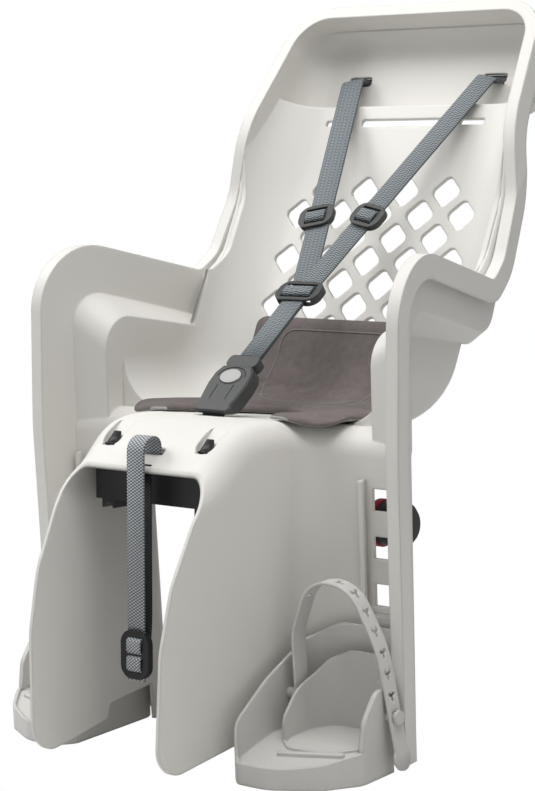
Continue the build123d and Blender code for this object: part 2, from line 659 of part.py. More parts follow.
def strap_entry(side):
    """Where a shoulder strap rests on the lower edge of its headrest slot."""
    up = HARNESS_UP - HARNESS_SLOT_HEIGHT / 2 + WEB_THICK / 2 + 1.1
    return head_plane(0).location * Pos(side * HARNESS_X, up, 0)


def shoulder_ends(side):
    """Start and end of a shoulder strap's straight run."""
    slot = strap_entry(side) * Pos(0, 0, 12)
    level = WEB_THICK / 2 + 0.1
    aim = Vector(side * CHEST[0], CHEST[1] - side * level, CHEST[2] + side * level)
    back = Vector(*tuple(slot.position)) - aim
    spread = (HARNESS_X - CHEST[0]) / back.length
    stop = ADJUSTER_LENGTH / 2 + WEB / 2 * spread + WEB_GAP
    return tuple(slot.position), tuple(aim + back.normalized() * stop)


def shoulder_strap(side):
    """Webbing from the headrest slot down to the chest adjuster, with a folded tail behind the slot."""
    start, end = shoulder_ends(side)
    tail = strap_entry(side) * Pos(0, 0, -2) * Box(WEB, WEB_THICK, 28)
    fold = strap_entry(side) * Pos(0, 0, -15) * Box(WEB, 6, 3)
    return run(start, end, WEB, WEB_THICK) + tail + fold


def anchor_bar():
    """Slotted bar that holds a strap's tail behind a panel."""
    bar = Box(WEB + 2 * FRAME_SIDE, ANCHOR_DEPTH, ANCHOR_THICK)
    return bar - Box(WEB + SLOT_CLEAR, WEB_THICK + 2 * WEB_GAP, ANCHOR_THICK + 1)


def strap_anchor(side):
    """The bar behind a headrest slot."""
    return strap_entry(side) * Pos(0, 0, -WALL - WEB_GAP - ANCHOR_THICK / 2) * anchor_bar()


def adjuster(width, thickness, length):
    """A webbing slide: a rounded frame round the webbing with two windows in its face."""
    wide = width + 2 * FRAME_SIDE
    outline = RectangleRounded(wide, length, min(wide, length) / 2.6)
    frame = extrude(outline, amount=thickness / 2 + 2.2, both=True)
    frame -= Box(width + SLOT_CLEAR, length + 2, thickness + 2 * WEB_GAP)
    for s in (1, -1):
        frame -= Pos(0, s * length / 4.2, 0) * Box(width + SLOT_CLEAR - 4, length / 4.4, FAR)
    return frame


def buckle_frame():
    rise = atan(BUCKLE_RISE / (1 - BUCKLE_RISE ** 2) ** 0.5)
    return Plane((0, BUCKLE_Y, BUCKLE_Z), x_dir=(1, 0, 0), z_dir=(0, -cos(rise), sin(rise))).location


def buckle_housing():
    """The buckle's case: side lobes at its foot, the button's well, and an arched line above it."""
    w, low, high = BUCKLE_HALF_WIDTH, BUCKLE_LOW, BUCKLE_HIGH
    half = [(w - 4, low), (w - 1.5, low + 4), (w - 3.5, low + 9), (w - 2, low + 16), (w, low + 32),
            (w - 1, high - 9), (w - 6, high)]
    radii = [3, 3, 2, 6, 20, 8, 3]
    outline = FilletPolyline(*half, *[(-x, y) for x, y in half[::-1]], radius=radii + radii[::-1], close=True)
    body = extrude(make_face(outline), amount=BUCKLE_THICK / 2, both=True)
    body = chamfer(body.faces().sort_by(Axis.Z)[-1].edges(), BUCKLE_BEVEL)
    face = Pos(0, BUTTON_Y, BUCKLE_THICK / 2 - GROOVE)
    arch = Ellipse(BUTTON_A + 4.5, BUTTON_B + 3.5) - Ellipse(BUTTON_A + 4.5 - GROOVE, BUTTON_B + 3.5 - GROOVE)
    arch -= Pos(0, -FAR / 2) * Rectangle(FAR, FAR)
    body -= extrude(face * arch, amount=FAR)
    for s in (1, -1):
        body -= face * Pos(s * BUTTON_A * 0.8, -BUTTON_B - 10, FAR / 2) * Box(GROOVE, 17, FAR)
    body -= extrude(Pos(0, BUTTON_Y) * Ellipse(BUTTON_A + SLIDE_GAP, BUTTON_B + SLIDE_GAP), amount=FAR)
    fit = 2 * WEB_GAP
    body -= Pos(0, high, 0) * Box(TONGUE_WIDTH + fit, 2 * (TONGUE_DEPTH + fit), TONGUE_THICK + fit)
    hollow_under = Box(WEB + SLOT_CLEAR, FAR, FAR, align=(Align.CENTER, Align.MAX, Align.MAX))
    body -= Pos(0, CROTCH_TOP + SLOT_CLEAR, WEB_THICK / 2 + WEB_GAP) * hollow_under
    saddle = Box(FAR, FAR, FAR, align=(Align.CENTER, Align.CENTER, Align.MAX))
    return body - buckle_frame().inverse() * Pos(0, 0, SADDLE_CREST_Z + WEB_GAP) * saddle


def buckle_button():
    place = Pos(0, BUTTON_Y, BUCKLE_THICK / 2 + BUTTON_PROUD - BUTTON_THICK)
    return extrude(place * Ellipse(BUTTON_A, BUTTON_B), amount=BUTTON_THICK)


def buckle_tongue():
    """The plug that enters the housing, with a head that the harness webbing is sewn into."""
    low = BUCKLE_HIGH + WEB_GAP
    head = extrude(Pos(0, low + TONGUE_HEAD / 2) * RectangleRounded(TONGUE_HEAD_WIDTH, TONGUE_HEAD, 5),
                   amount=TONGUE_HEAD_THICK / 2, both=True)
    head += Pos(0, low + 1, 0) * Box(TONGUE_WIDTH, TONGUE_DEPTH + 1, TONGUE_THICK,
                                     align=(Align.CENTER, Align.MAX, Align.CENTER))
    mouth = Box(WEB + SLOT_CLEAR, FAR, 2 * WEB_THICK + 3, align=(Align.CENTER, Align.MIN, Align.CENTER))
    return head - Pos(0, HARNESS_END - WEB_GAP - 0.2, 0) * mouth


def harness_end():
    """Where the doubled webbing ends inside the tongue's head."""
    return tuple((buckle_frame() * Pos(0, HARNESS_END, 0)).position)


def harness_strap():
    """The doubled webbing from the chest adjuster to the buckle's tongue."""
    start = Vector(0, CHEST[1], CHEST[2])
    along = (Vector(*harness_end()) - start).normalized()
    return run(tuple(start + along * 2 * WEB_GAP), harness_end(), WEB, 2 * WEB_THICK)


def crotch_strap():
    """Short webbing from the buckle down through the saddle to its anchor."""
    top = tuple((buckle_frame() * Pos(0, CROTCH_TOP, 0)).position)
    low = tuple((buckle_frame() * Pos(0, CROTCH_LOW, 0)).position)
    return run(top, low, WEB, WEB_THICK) + Pos(0, low[1], low[2] - 8) * Box(WEB, WEB_THICK, 18)


def crotch_anchor():
    """The bar under the saddle that the crotch strap's tail is threaded through."""
    return Pos(0, CROTCH_Y, SADDLE_CREST_Z - WALL - ANCHOR_THICK - 0.8) * anchor_bar()


def seat_pad():
    """The padded cushion: a seat part and a back part in one fold."""
    level = PAD_GAP + PAD_THICK / 2
    shift = level / cos(RECLINE)
    low_y = (BACK_Y + BACK_SLOPE * (PAN_Z + level - BACK_Z) - shift) / (1 + BACK_SLOPE * PAN_FALL)
    path = [(PAD_FRONT_Y, saddle_z(PAD_FRONT_Y) + level), (SADDLE_REAR_Y, pan_z(SADDLE_REAR_Y) + level),
            (low_y, pan_z(low_y) + level), (back_y(PAD_TOP_Z) - shift, PAD_TOP_Z)]
    return across(Plane.YZ * strip(path, [0, 300, PAN_BACK_R - level, 0], PAD_THICK),
                  BUCKET_HALF_WIDTH - BUCKET_SIDE_R - PAD_SIDE_GAP)


def retention_strap():
    """Webbing that comes out of the saddle and hangs down in front, to go round the carrier's frame."""
    path = [(RETAINER_Y, 14), (RETAINER_Y, 70), (RETAINER_RUN_Y, 64), (RETAINER_RUN_Y, RETAINER_LOW_Z)]
    return across(Plane.YZ * strip(path, [0, 5, 8, 0], WEB_THICK), RETAINER_WEB / 2)


def clamp_plate():
    """The carrier bracket: top plate, rail ribs, front apron, screw bearing and saddle lugs."""
    length = CLAMP_REAR_Y - CLAMP_FRONT_Y
    middle = (CLAMP_REAR_Y + CLAMP_FRONT_Y) / 2
    hang = (Align.CENTER, Align.CENTER, Align.MAX)
    body = Pos(0, middle, CLAMP_TOP_Z) * Box(2 * CLAMP_HALF_WIDTH, length, CLAMP_WALL, align=hang)
    apron = Box(2 * CLAMP_HALF_WIDTH, CLAMP_WALL, CLAMP_TOP_Z - APRON_LOW_Z, align=hang)
    body += Pos(0, CLAMP_FRONT_Y + CLAMP_WALL / 2, CLAMP_TOP_Z) * apron
    bearing = Box(BEARING, 2.5 * BEARING, CLAMP_TOP_Z - SCREW_Z + BEARING, align=hang)
    body += Pos(0, SCREW_Y, CLAMP_TOP_Z) * bearing
    body -= along_x(-BEARING, SCREW_R + SLIDE_GAP, 2 * BEARING)
    for side in (1, -1):
        rail = Pos(side * RAIL_X, middle, 0)
        rib = Box(RIB_WIDTH, length, CLAMP_TOP_Z - 0.5, align=hang)
        body += Pos(side * RAIL_X, middle, CLAMP_TOP_Z) * rib
        body -= rail * Rot(90, 0, 0) * Cylinder(RAIL_R + RAIL_FIT, length + 2)
        body -= Pos(side * BOLT_X, BOLT_Y, 0) * Cylinder(BOLT_R + SCREW_FIT, 3 * CLAMP_TOP_Z)
        lug = Box(LUG_WIDTH, LUG_LENGTH, LUG_TOP_Z - CLAMP_TOP_Z + CLAMP_WALL, align=hang)
        body += Pos(side * RECESS_X, LUG_Y, LUG_TOP_Z) * lug
    return body


def clamp_jaw(side):
    """A jaw that hooks under and outside one carrier rail and rides on the screw."""
    outwards = Align.MIN if side > 0 else Align.MAX
    inwards = Align.MAX if side > 0 else Align.MIN
    block = Pos(side * JAW_X, SCREW_Y, 0) * Box(JAW_WIDTH, JAW_LENGTH, BEARING - SCREW_Z,
                                               align=(outwards, Align.CENTER, Align.MAX))
    block -= Pos(side * RAIL_X, SCREW_Y, 0) * Rot(90, 0, 0) * Cylinder(RAIL_R + RAIL_FIT, 2 * JAW_LENGTH)
    block -= Pos(side * RAIL_X, SCREW_Y, -RAIL_R - RAIL_FIT) * Box(JAW_WIDTH, 2 * JAW_LENGTH, JAW_WIDTH,
                                                                   align=(inwards, Align.CENTER, Align.MIN))
    return block - along_x(-FAR / 2, SCREW_R + SLIDE_GAP, FAR)


def along_x(start, radius, length):
    """A cylinder on the screw's axis."""
    return Pos(start, SCREW_Y, SCREW_Z) * lying(radius, length)


def clamp_knob():
    knob = along_x(KNOB_X, KNOB_R, KNOB_LENGTH)
    knob = chamfer(knob.edges().sort_by(Axis.X)[-1], KNOB_BEVEL)
    return knob - along_x(KNOB_X - 1, SCREW_R + SCREW_FIT, KNOB_BORE + 1)


def knob_ring():
    start = KNOB_X - RING_THICK - 0.2
    return along_x(start, KNOB_R + 2, RING_THICK) - along_x(start - 1, SCREW_R + SCREW_FIT, RING_THICK + 2)


def fixing_bolt(side):
    under = CLAMP_TOP_Z - CLAMP_WALL - SCREW_FIT
    head = Cylinder(BOLT_HEAD_R, BOLT_HEAD, align=(Align.CENTER, Align.CENTER, Align.MAX))
    shank = Pos(0, 0, -1) * Cylinder(BOLT_R, BOLT_LENGTH, align=STAND)
    return Pos(side * BOLT_X, BOLT_Y, under) * (head + shank)


def save(shape, node):
    export_step(shape, "parts/" + node + ".step")


left_footrest = track_frame(1) * footrest()
left_band = track_frame(1) * foot_strap()
chest_plane = run_plane((0, CHEST[1], CHEST[2]), harness_end(), 0.0)
lock_plane = Plane((0, RETAINER_RUN_Y, LOCK_Z), x_dir=(1, 0, 0), z_dir=(0, -1, 0))

save(shell(), "seat_shell")
save(left_footrest, "footrest_left")
save(mirror(left_footrest, about=Plane.YZ), "footrest_right")
save(left_band, "foot_strap_left")
save(mirror(left_band, about=Plane.YZ), "foot_strap_right")
for side, name in ((1, "left"), (-1, "right")):
    start, end = shoulder_ends(side)
    save(shoulder_strap(side), "shoulder_strap_" + name)
    save(run_plane(start, end, 0.7).location * adjuster(WEB, WEB_THICK, ADJUSTER_LENGTH), "adjuster_" + name)
    save(clamp_jaw(side), "clamp_jaw_" + name)
save(Compound([strap_anchor(1), strap_anchor(-1)]), "strap_anchors")
save(chest_plane.location * adjuster(WEB + 12, 2 * WEB_THICK + 0.2, ADJUSTER_LENGTH), "adjuster_chest")
save(harness_strap(), "harness_strap")
save(buckle_frame() * buckle_housing(), "buckle_housing")
save(buckle_frame() * buckle_button(), "buckle_button")
save(buckle_frame() * buckle_tongue(), "buckle_tongue")
save(crotch_strap(), "crotch_strap")
save(crotch_anchor(), "crotch_anchor")
save(seat_pad(), "seat_pad")
save(retention_strap(), "retention_strap")
save(lock_plane.location * adjuster(RETAINER_WEB, WEB_THICK, LOCK_LENGTH), "ladder_lock")
save(clamp_plate(), "clamp_plate")
save(along_x(SCREW_START_X, SCREW_R, KNOB_X + KNOB_BORE - 1 - SCREW_START_X), "lead_screw")
save(clamp_knob(), "clamp_knob")
save(knob_ring(), "knob_ring")
save(Compound([fixing_bolt(1), fixing_bolt(-1)]), "fixing_bolts")
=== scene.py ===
import bpy
import bmesh
from math import cos, pi, radians, sin, sqrt, tan
from mathutils import Matrix, Vector


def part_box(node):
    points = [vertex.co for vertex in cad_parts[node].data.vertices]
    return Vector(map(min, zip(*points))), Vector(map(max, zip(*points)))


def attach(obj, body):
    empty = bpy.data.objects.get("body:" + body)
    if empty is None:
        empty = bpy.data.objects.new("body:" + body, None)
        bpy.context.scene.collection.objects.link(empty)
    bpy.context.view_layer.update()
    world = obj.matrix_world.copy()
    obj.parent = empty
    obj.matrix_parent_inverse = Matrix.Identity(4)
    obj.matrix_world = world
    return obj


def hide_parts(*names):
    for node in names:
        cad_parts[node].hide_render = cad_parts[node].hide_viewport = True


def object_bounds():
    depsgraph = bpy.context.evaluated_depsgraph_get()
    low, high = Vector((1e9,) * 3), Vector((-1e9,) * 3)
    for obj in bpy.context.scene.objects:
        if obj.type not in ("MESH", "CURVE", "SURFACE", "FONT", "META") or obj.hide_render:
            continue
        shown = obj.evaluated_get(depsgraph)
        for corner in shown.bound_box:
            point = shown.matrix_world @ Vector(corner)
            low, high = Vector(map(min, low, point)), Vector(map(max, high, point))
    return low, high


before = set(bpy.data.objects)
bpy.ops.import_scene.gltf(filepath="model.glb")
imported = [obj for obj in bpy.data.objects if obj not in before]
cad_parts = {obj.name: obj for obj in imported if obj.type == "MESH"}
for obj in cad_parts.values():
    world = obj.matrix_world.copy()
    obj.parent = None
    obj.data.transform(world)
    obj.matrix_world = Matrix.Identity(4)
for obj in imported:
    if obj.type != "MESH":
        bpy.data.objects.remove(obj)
cad_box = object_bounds()


# The shell is one injection moulding in warm white plastic, with a very fine spark-eroded grain.
# Its rim is turned over all round, so every edge that a hand meets is soft.
# A web of the same moulding joins each ear to the bucket's side wall.
class Wire:
    """A socket in one material's node tree. Arithmetic on it adds Math nodes."""

    def __init__(self, tree, socket=None):
        self.tree = tree
        self.socket = socket

    def put(self, kind, settings=None, inputs=None, out=0):
        """Adds a node: first its settings, then the values or links of its sockets."""
        node = self.tree.nodes.new("ShaderNode" + kind)
        for key, value in (settings or {}).items():
            setattr(node, key, value)
        for key, value in (inputs or {}).items():
            if isinstance(value, Wire):
                self.tree.links.new(value.socket, node.inputs[key])
            else:
                node.inputs[key].default_value = value
        return Wire(self.tree, node.outputs[out] if node.outputs else None)

    def math(self, operation, *values):
        return self.put("Math", {"operation": operation}, dict(enumerate(values)))

    def __add__(self, other):
        return self.math("ADD", self, other)

    def __sub__(self, other):
        return self.math("SUBTRACT", self, other)

    def __rsub__(self, other):
        return self.math("SUBTRACT", other, self)

    def __mul__(self, other):
        return self.math("MULTIPLY", self, other)

    __radd__ = __add__
    __rmul__ = __mul__


def tree_of(name):
    """A new material with an empty node tree, and a wire to build it with."""
    material = bpy.data.materials.new(name)
    material.use_nodes = True
    material.node_tree.nodes.clear()
    return material, Wire(material.node_tree)


def mixed(wire, amount, first, second):
    """A colour between two others. Sockets 6 and 7 are a Mix node's colours, output 2 is its colour."""
    return wire.put("Mix", {"data_type": "RGBA"}, {0: amount, 6: first, 7: second}, out=2)


def close_tree(material, wire, colour, roughness, height=None, strength=0.0, depth=0.0, edge=0.0, metal=0.0):
    """Ends a material's tree in a Principled surface, raised by a height and softened at its edges."""
    inputs = {"Base Color": colour, "Roughness": roughness, "Metallic": metal, "Specular IOR Level": 0.45}
    normal = None
    if edge:
        normal = wire.put("Bevel", {"samples": 6}, {"Radius": edge})
    if height:
        bump = {"Strength": strength, "Distance": depth, "Height": height}
        if normal:
            bump["Normal"] = normal
        normal = wire.put("Bump", None, bump)
    if normal:
        inputs["Normal"] = normal
    wire.put("OutputMaterial", None, {"Surface": wire.put("BsdfPrincipled", None, inputs)})
    return material


def moulded_plastic(name, colour, roughness, grain=1500.0, edge=0.003):
    """Grained plastic: a colour that drifts slightly, and a fine grain in the surface."""
    darker, roughness_swing = 0.96, 0.1
    grain_strength, grain_depth = 0.12, 0.0004
    material, wire = tree_of(name)
    place = wire.put("TexCoord", out="Object")
    drift = wire.put("TexNoise", None, {"Vector": place, "Scale": 9.0, "Detail": 3.0})
    grains = wire.put("TexNoise", None, {"Vector": place, "Scale": grain, "Detail": 2.0, "Roughness": 0.6})
    tone = mixed(wire, drift, colour, [c * darker for c in colour[:3]] + [1])
    rough = roughness - roughness_swing / 2 + roughness_swing * grains
    return close_tree(material, wire, tone, rough, grains, grain_strength, grain_depth, edge)


def dress(material, *names):
    """Gives CAD nodes, which keep their shape, a material."""
    for name in names:
        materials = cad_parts[name].data.materials
        materials.clear()
        materials.append(material)


def closed_mesh(form, name):
    """Ends a bmesh as a mesh whose faces look outwards."""
    bmesh.ops.recalc_face_normals(form, faces=form.faces)
    mesh = bpy.data.meshes.new(name)
    form.to_mesh(mesh)
    form.free()
    return mesh


def add_piece(name, mesh, material, body, node=None):
    """Adds a mesh to the scene as a piece that rides on a body, and may stand for a CAD node."""
    piece = bpy.data.objects.new(name, mesh)
    bpy.context.scene.collection.objects.link(piece)
    if not mesh.materials:
        mesh.materials.append(material)
    mesh.shade_smooth()
    if node:
        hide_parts(node)
    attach(piece, body)
    return piece


shell_white = moulded_plastic("shell_white", (0.72, 0.705, 0.665, 1), 0.48)
dress(shell_white, "seat_shell")
sides = ((1, "left"), (-1, "right"))
web_faces = (0.1494, 0.1538)
web_front_edge = [(0.1388, 0.147), (0.1593, 0.191), (0.1768, 0.2025), (0.1879, 0.2135), (0.1927, 0.222),
                  (0.2077, 0.2538), (0.2138, 0.270), (0.2160, 0.2885), (0.2175, 0.308)]
web_rear_edge = [(0.2278, 0.308), (0.2262, 0.269), (0.2201, 0.245), (0.1953, 0.190), (0.1765, 0.149)]
web_side_view = web_front_edge + web_rear_edge
for sign, side in sides:
    form = bmesh.new()
    inner, outer = [[form.verts.new((sign * x, y, z)) for y, z in web_side_view] for x in web_faces]
    form.faces.new(inner)
    form.faces.new(outer[::-1])
    for i in range(len(web_side_view)):
        form.faces.new((inner[i - 1], inner[i], outer[i], outer[i - 1]))
    name = "ear_web_" + side
    add_piece(name, closed_mesh(form, name), shell_white, "seat")


# The carrier clamp under the saddle is glass-filled black plastic, screwed to two bosses in the shell.
# A steel screw with a black knob and a red ring moves its two jaws against the carrier's rails.
clamp_black = moulded_plastic("clamp_black", (0.022, 0.022, 0.023, 1), 0.45, grain=900.0, edge=0.001)
knob_red = moulded_plastic("knob_red", (0.32, 0.012, 0.02, 1), 0.45, grain=900.0, edge=0.001)
dress(clamp_black, "clamp_plate", "clamp_jaw_left", "clamp_jaw_right", "clamp_knob")
dress(knob_red, "knob_ring")
plated, wire = tree_of("plated_steel")
place = wire.put("TexCoord", out="Object")
scratches = wire.put("TexNoise", None, {"Vector": place, "Scale": 400.0, "Detail": 3.0})
bright = mixed(wire, scratches, (0.62, 0.62, 0.60, 1), (0.72, 0.72, 0.71, 1))
close_tree(plated, wire, bright, 0.25 + 0.2 * scratches, metal=1.0)
dress(plated, "lead_screw", "fixing_bolts")


# The footrests are moulded in the same plastic, a shade greyer, and slide in tracks on the leg wells.
# Each has a soft rubber band with a row of three-lobed holes, which buttons onto a peg on its outer wall.
def rounded_path(points, radii, step=0.003):
    """Points along straight stretches whose corners are rounded by arcs."""
    corners = [Vector(p) for p in points]
    path = [corners[0]]
    for before, here, after, radius in zip(corners, corners[1:], corners[2:], radii):
        a, b = (before - here).normalized(), (after - here).normalized()
        half = a.angle(b) / 2
        centre = here + (a + b).normalized() * radius / sin(half)
        first, last = here + a * radius / tan(half) - centre, here + b * radius / tan(half) - centre
        turn = pi - 2 * half
        count = max(2, round(radius * turn / step))
        for i in range(count + 1):
            path.append(centre + Matrix.Rotation(turn * i / count, 3, first.cross(last)) @ first)
    path.append(corners[-1])
    return path


def lengths_of(path):
    """Distance of each point from the start of a path."""
    along = [0.0]
    for a, b in zip(path, path[1:]):
        along.append(along[-1] + (b - a).length)
    return along


def spot_on(path, along, distance):
    """Point and direction at a distance along a path, carried on straight past its ends."""
    i = 0
    while i < len(path) - 2 and along[i + 1] < distance:
        i += 1
    heading = (path[i + 1] - path[i]).normalized()
    return path[i] + heading * (distance - along[i]), heading


def perforated_band(path, wide, width, thickness, tab, holes):
    """A flat band with a round tab and holes, cut out in the plane and then bent along a path."""
    slice_length, hole_points = 0.004, 24
    along = lengths_of(path)
    end = along[-1]
    start_turns = [pi * i / 12 - pi / 2 for i in range(13)]
    tab_turns = [(pi - width / 2 / tab) * (i / 8 - 1) for i in range(17)]
    outline = [(-width / 2 * cos(t), -width / 2 * sin(t)) for t in start_turns]
    outline += [(end + tab * cos(t), tab * sin(t)) for t in tab_turns]
    rings = [outline]
    for place, radius, lobe in holes:
        turns = [2 * pi * i / hole_points for i in range(hole_points)]
        reach = [radius + lobe * cos(3 * t) for t in turns]
        rings.append([(place + r * cos(t), r * sin(t)) for r, t in zip(reach, turns)])
    curve = bpy.data.curves.new("band_outline", "CURVE")
    curve.dimensions = "2D"
    curve.fill_mode = "BOTH"
    curve.extrude = thickness / 2
    for ring in rings:
        spline = curve.splines.new("POLY")
        spline.points.add(len(ring) - 1)
        spline.use_cyclic_u = True
        for point, (x, y) in zip(spline.points, ring):
            point.co = (x, y, 0, 1)
    holder = bpy.data.objects.new("band_outline", curve)
    form = bmesh.new()
    form.from_mesh(bpy.data.meshes.new_from_object(holder))
    bpy.data.objects.remove(holder)
    bmesh.ops.remove_doubles(form, verts=form.verts, dist=1e-6)
    for i in range(1, int(end / slice_length)):
        parts = form.verts[:] + form.edges[:] + form.faces[:]
        bmesh.ops.bisect_plane(form, geom=parts, plane_co=(i * slice_length, 0, 0), plane_no=(1, 0, 0))
    for vert in form.verts:
        x, y, z = vert.co
        spot, heading = spot_on(path, along, x)
        vert.co = spot + wide * y + heading.cross(wide) * z
    return closed_mesh(form, "foot_band")


footrest_grey = moulded_plastic("footrest_grey", (0.60, 0.59, 0.565, 1), 0.5)
dress(footrest_grey, "footrest_left", "footrest_right")
strap_rubber = moulded_plastic("strap_rubber", (0.60, 0.59, 0.565, 1), 0.55, grain=1200.0, edge=0.0008)
band_width, band_thickness, band_tab = 0.018, 0.0025, 0.0105
band_foot, band_lean = (-0.0231, -0.2096), 0.055
band_route = [(0.107, -0.1627), (0.104, -0.0998), (0.122, -0.0518), (0.164, -0.0528), (0.192, -0.1038),
              (0.2089, -0.1936)]
band_bends = [0.05, 0.028, 0.034, 0.110]
band_across = Vector((0, 1, band_lean)).normalized()
inner_peg, outer_peg, peg_hole = 0.0092, 0.0346, 0.0048
hole_count, hole_pitch, hole_radius, hole_lobe = 9, 0.018, 0.0033, 0.0018
for sign, side in sides:
    route = [(sign * x, band_foot[0] - band_lean * (z - band_foot[1]), z) for x, z in band_route]
    path = rounded_path(route, band_bends)
    button = lengths_of(path)[-1] - outer_peg
    holes = [(inner_peg, peg_hole, 0.0), (button, peg_hole, 0.0)]
    holes += [(button - hole_pitch * (i + 1), hole_radius, hole_lobe) for i in range(hole_count)]
    mesh = perforated_band(path, band_across, band_width, band_thickness, band_tab, holes)
    add_piece("foot_band_" + side, mesh, strap_rubber, "footrest_" + side,
              "foot_strap_" + side)


# The pad is felted cloth over thin foam, folded where the pan meets the back, and held by the harness.
# Its upper face is blown up by a cloth simulation, its underside lies on the shell.
pad_front, pan_joint, pad_fold, pad_top = (-0.010, 0.0766), (0.054, 0.0708), (0.1484, 0.0651), (0.1878, 0.150)
pan_bend, fold_radius = 0.3, 0.075
nose_half_width, wing_half_width, back_half_width = 0.072, 0.118, 0.106
nose_length, taper_start, taper_end, top_corner = 0.035, 0.07, 0.14, 0.009
notch_depth, notch_half_width = 0.098, 0.058
pan_half_width, side_radius = 0.100, 0.050
wing_droop, wing_length, saddle_half_width = 0.18, 0.035, 0.070
pad_lift, pad_thickness, thin_edge = 0.0012, 0.006, 0.012
pad_rows, pad_columns = 62, 23
swell_limit, swell_pressure, swell_steps = 0.0045, 4.0, 20


def pad_half_width(along, end):
    """The pad's outline: a rounded front, wide on the pan, narrower up the back."""
    if along < nose_length:
        bulge = sqrt(1 - (1 - along / nose_length) ** 2)
        return nose_half_width + (wing_half_width - nose_half_width) * bulge
    if along < taper_end:
        ease = min(1, max(0, (along - taper_start) / (taper_end - taper_start)))
        return wing_half_width - (wing_half_width - back_half_width) * ease * ease * (3 - 2 * ease)
    past = max(0, along - end + top_corner)
    return back_half_width - top_corner + sqrt(top_corner ** 2 - past ** 2)


def pad_notch(along):
    """Half width of the notch in the pad's front edge, which the buckle's strap comes up through."""
    return notch_half_width * sqrt(1 - (along / notch_depth) ** 2) if along < notch_depth else 0.0


def pad_form():
    """The closed slab before it is blown up, as (mesh, index of each of its points, length)."""
    profile = [(0, *p) for p in (pad_front, pan_joint, pad_fold, pad_top)]
    path = rounded_path(profile, [pan_bend, fold_radius], step=0.004)
    along = lengths_of(path)
    end, hair = along[-1], 1e-4
    distances = [end * min(max(i / pad_rows, hair), 1 - hair) for i in range(pad_rows + 1)]
    form = bmesh.new()
    spots = {}
    for i, distance in enumerate(distances):
        spot, heading = spot_on(path, along, distance)
        up = Vector((1, 0, 0)).cross(heading)
        half, notch = pad_half_width(distance, end), pad_notch(distance)
        for sign in (-1, 1):
            for j in range(pad_columns + 1):
                x = notch + (half - notch) * j / pad_columns
                over = max(0.0, x - pan_half_width)
                rise = side_radius - sqrt(side_radius ** 2 - over ** 2)
                rise -= wing_droop * max(0.0, x - saddle_half_width) * max(0.0, 1 - distance / wing_length)
                rim = min(half - x, distance, end - distance, x - notch if notch else half)
                full = min(1, 0.5 + rim / thin_edge)
                for layer in (0, 1):
                    if j == 0 and notch == 0 and sign == 1:
                        spots[i, sign, j, layer] = spots[i, -1, j, layer]
                    else:
                        lift = pad_lift + rise + layer * pad_thickness * full
                        spots[i, sign, j, layer] = form.verts.new(spot + Vector((sign * x, 0, 0)) + up * lift)

    def wall(sign, a, b, c, d):
        """A face of the rim, from the underside to the upper face, between two points of the grid."""
        ring = [(a, b, 0), (c, d, 0), (c, d, 1), (a, b, 1)]
        return form.faces.new([spots[i, sign, j, layer] for i, j, layer in ring])

    for sign in (-1, 1):
        for i in range(pad_rows):
            for j in range(pad_columns):
                for layer in (0, 1):
                    ring = [(i, j), (i + 1, j), (i + 1, j + 1), (i, j + 1)]
                    face = form.faces.new([spots[a, sign, b, layer] for a, b in ring])
                    face.material_index = 1 - layer
            for j in [0, pad_columns] if pad_notch(distances[i]) > 0 else [pad_columns]:
                wall(sign, i, j, i + 1, j)
        for i, finish in ((0, 1), (pad_rows, 0)):
            for j in range(pad_columns):
                wall(sign, i, j, i, j + 1).material_index = finish
    form.verts.index_update()
    order = {key: vert.index for key, vert in spots.items()}
    return closed_mesh(form, "seat_cushion"), order, end


def blow_up(piece, pinned):
    """Cloth under pressure for a few steps, with the pinned points held and every movement capped."""
    group = piece.vertex_groups.new(name="pinned")
    group.add(pinned, 1.0, "REPLACE")
    cloth = piece.modifiers.new("cloth", "CLOTH")
    cloth.settings.vertex_group_mass = "pinned"
    cloth.settings.use_pressure = True
    cloth.settings.uniform_pressure_force = swell_pressure
    cloth.settings.effector_weights.gravity = 0.0
    for step in range(1, swell_steps + 1):
        bpy.context.scene.frame_set(step)
    blown = piece.evaluated_get(bpy.context.evaluated_depsgraph_get()).to_mesh()
    moves = [Vector(b.co) - Vector(a.co) for a, b in zip(piece.data.vertices, blown.vertices)]
    piece.modifiers.remove(cloth)
    bpy.context.scene.frame_set(1)
    for vert, move in zip(piece.data.vertices, moves):
        if move.length > 0:
            vert.co += move * min(1.0, swell_limit / move.length)


felt, wire = tree_of("pad_felt")
place = wire.put("TexCoord", out="Object")
fibres = wire.put("TexNoise", None, {"Vector": place, "Scale": 700.0, "Detail": 4.0, "Roughness": 0.75})
worn = wire.put("TexNoise", None, {"Vector": place, "Scale": 120.0, "Detail": 4.0, "Roughness": 0.6})
cloth_tone = mixed(wire, 0.6 * fibres + 0.9 * worn - 0.25, (0.085, 0.071, 0.069, 1), (0.19, 0.162, 0.158, 1))
close_tree(felt, wire, cloth_tone, roughness=0.9, height=fibres, strength=0.35, depth=0.0006)
backing = moulded_plastic("pad_backing", (0.36, 0.36, 0.35, 1), 0.8, grain=700.0, edge=0.0)
pad_mesh, pad_order, pad_length = pad_form()
pad_mesh.materials.append(felt)
pad_mesh.materials.append(backing)
cushion = add_piece("seat_cushion", pad_mesh, felt, "seat", "seat_pad")
blow_up(cushion, sorted({index for key, index in pad_order.items() if key[3] == 0}))
smooth = cushion.modifiers.new("smooth", "SUBSURF")
smooth.levels = 1
smooth.render_levels = 1


